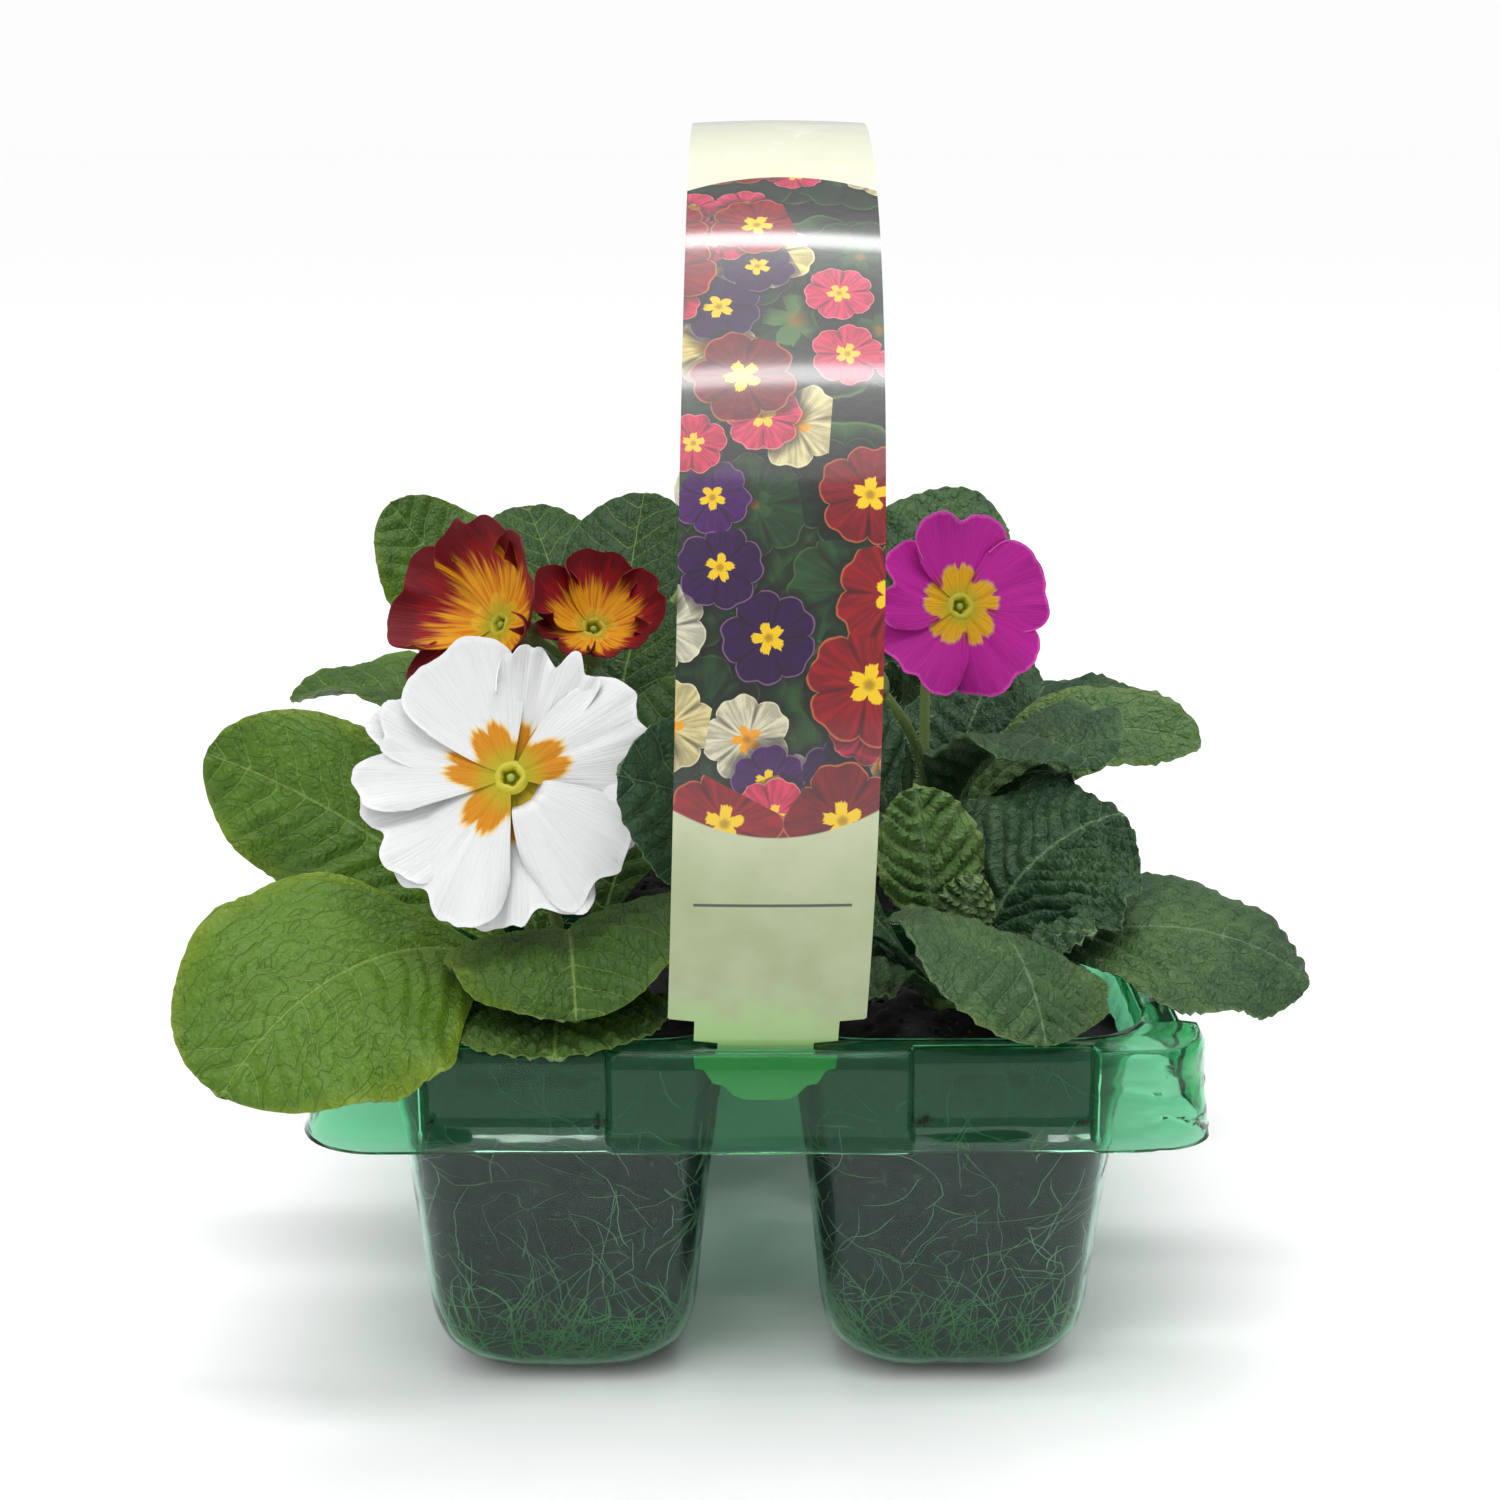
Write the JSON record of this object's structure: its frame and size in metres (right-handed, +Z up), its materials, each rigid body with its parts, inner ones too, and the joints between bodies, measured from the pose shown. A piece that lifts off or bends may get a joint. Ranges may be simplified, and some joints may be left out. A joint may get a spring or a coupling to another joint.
{
  "type": "primrose pack",
  "caption": "Primrose plants in bloom, growing in soil in a moulded green carry pack of linked pots with an arched card handle.",
  "frame": {"origin": "middle of the pack's outline at the height of the ground under the pots", "axes": "+Z up, -Y to the front, where one end of the handle is set in the deck, +X to the right seen from the front"},
  "size_m": [0.2155, 0.2638, 0.2314],
  "materials": {
    "sheet": "gloss",
    "card": "gloss",
    "soil": "matte",
    "leaf_light": "satin",
    "leaf_dark": "satin",
    "petal_white": "satin",
    "petal_crimson": "satin",
    "petal_magenta": "satin",
    "petal_cream": "satin",
    "petal_yellow": "satin"
  },
  "bodies": {
    "root": {"carry_pack": "sheet", "card_handle": "card", "soil_front_left": "soil", "plant_front_left": "leaf_light", "soil_front_right": "soil", "plant_front_right": "leaf_dark", "soil_middle_left": "soil", "plant_middle_left": "leaf_light", "soil_middle_right": "soil", "plant_middle_right": "leaf_dark", "soil_back_left": "soil", "plant_back_left": "leaf_light", "soil_back_right": "soil", "plant_back_right": "leaf_dark", "bloom_white": "petal_white", "bloom_crimson_left": "petal_crimson", "bloom_crimson_right": "petal_crimson", "bloom_magenta": "petal_magenta", "bloom_cream": "petal_cream", "bloom_yellow": "petal_yellow"}
  },
  "joints": []
}
